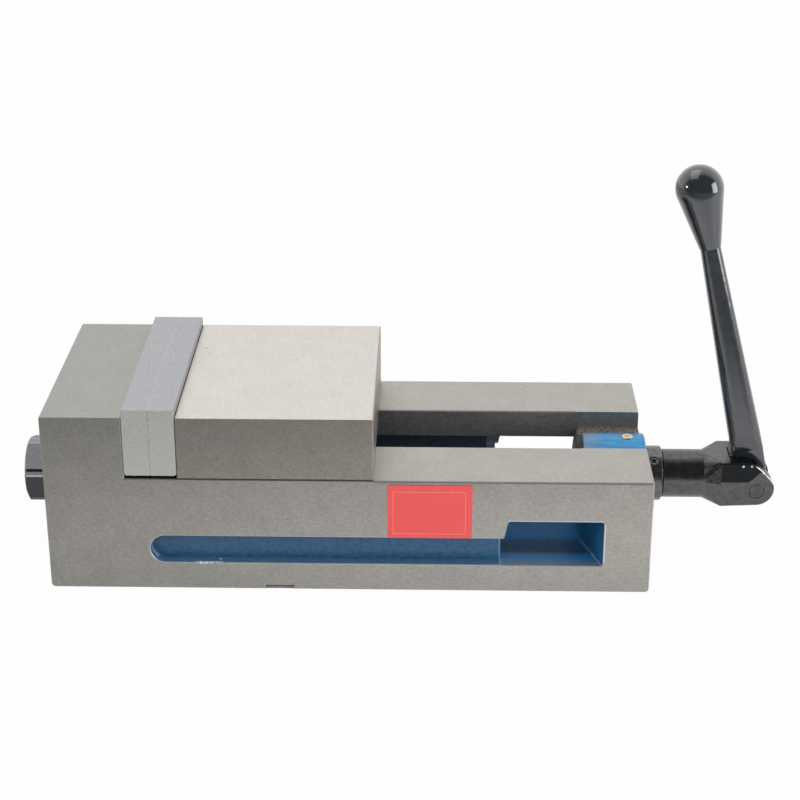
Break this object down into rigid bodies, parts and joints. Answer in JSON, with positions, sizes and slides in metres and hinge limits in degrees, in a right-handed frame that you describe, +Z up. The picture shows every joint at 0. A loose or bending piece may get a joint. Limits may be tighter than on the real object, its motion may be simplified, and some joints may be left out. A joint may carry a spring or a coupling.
{
  "type": "precision milling vise",
  "caption": "Precision milling vise with a closed flat body, angle-lock sliding jaw between rails, lead screw and folding crank handle with a ball grip.",
  "frame": {"origin": "centre of the base, on the plane that it rests on", "axes": "+Z up, +X along the screw towards the handle, -Y the side with the label"},
  "size_m": [0.4966, 0.1605, 0.2604],
  "materials": {
    "body_iron": "ground, with blue paint in the cast recesses",
    "jaw_iron": "ground",
    "plate_steel": "ground",
    "nut_iron": "machined, oiled",
    "hard_steel": "hardened and polished",
    "screw_steel": "turned, oiled",
    "black_steel": "black oxide",
    "handle_enamel": "glossy black enamel",
    "cage_brass": "pressed",
    "oiler_brass": "turned",
    "bush_bronze": "turned bronze",
    "seal_rubber": "matt black",
    "label_red": "thin painted plate with a pale border line"
  },
  "bodies": {
    "vise": {"vise_body": "body_iron", "fixed_jaw_plate": "plate_steel", "fixed_plate_screws": "black_steel", "inner_thrust_washer": "hard_steel", "screw_bush": "bush_bronze", "dust_seal": "seal_rubber", "oiler_body": "oiler_brass", "oiler_spring": "hard_steel", "side_label": "label_red"},
    "jaw": {"moving_jaw": "jaw_iron", "moving_jaw_plate": "plate_steel", "moving_plate_screws": "black_steel", "screw_nut": "nut_iron", "lock_segment": "hard_steel", "jaw_set_screw": "black_steel"},
    "screw": {"lead_screw": "screw_steel", "thrust_nut": "black_steel", "nut_set_screw": "black_steel", "outer_thrust_washer": "hard_steel", "screw_ring": "black_steel", "ring_set_screw": "black_steel", "handle_hub": "black_steel", "hub_set_screw": "black_steel", "hinge_pin": "black_steel"},
    "cage": {"roller_cage": "cage_brass", "thrust_rollers": "hard_steel"},
    "handle": {"handle_arm": "handle_enamel"},
    "oiler_ball": {"oiler_ball": "hard_steel"}
  },
  "joints": [
    {"name": "screw_turn", "type": "hinge", "parent": "vise", "child": "screw", "pos_m": [0, 0, 0.04675], "axis": [1, 0, 0], "range_deg": [0, 10800]},
    {"name": "jaw_slide", "type": "slide", "parent": "vise", "child": "jaw", "axis": [1, 0, 0], "range_m": [0, 0.15]},
    {"name": "cage_turn", "type": "hinge", "parent": "vise", "child": "cage", "pos_m": [-0.185, 0, 0.04675], "axis": [1, 0, 0], "range_deg": [0, 5400]},
    {"name": "handle_fold", "type": "hinge", "parent": "screw", "child": "handle", "pos_m": [0.2671, 0, 0.04225], "axis": [0, 1, 0], "range_deg": [0, 110]},
    {"name": "oiler_press", "type": "slide", "parent": "vise", "child": "oiler_ball", "axis": [0, 0, -1], "range_m": [0, 0.0008], "stiffness_N_per_m": 600, "springref_m": -0.0006, "deforming": ["oiler_spring"]}
  ],
  "couplings": [
    {"joint": "jaw_slide", "follows": "screw_turn", "m_per_rad": 0.00079577},
    {"joint": "cage_turn", "follows": "screw_turn", "ratio": 0.5}
  ]
}
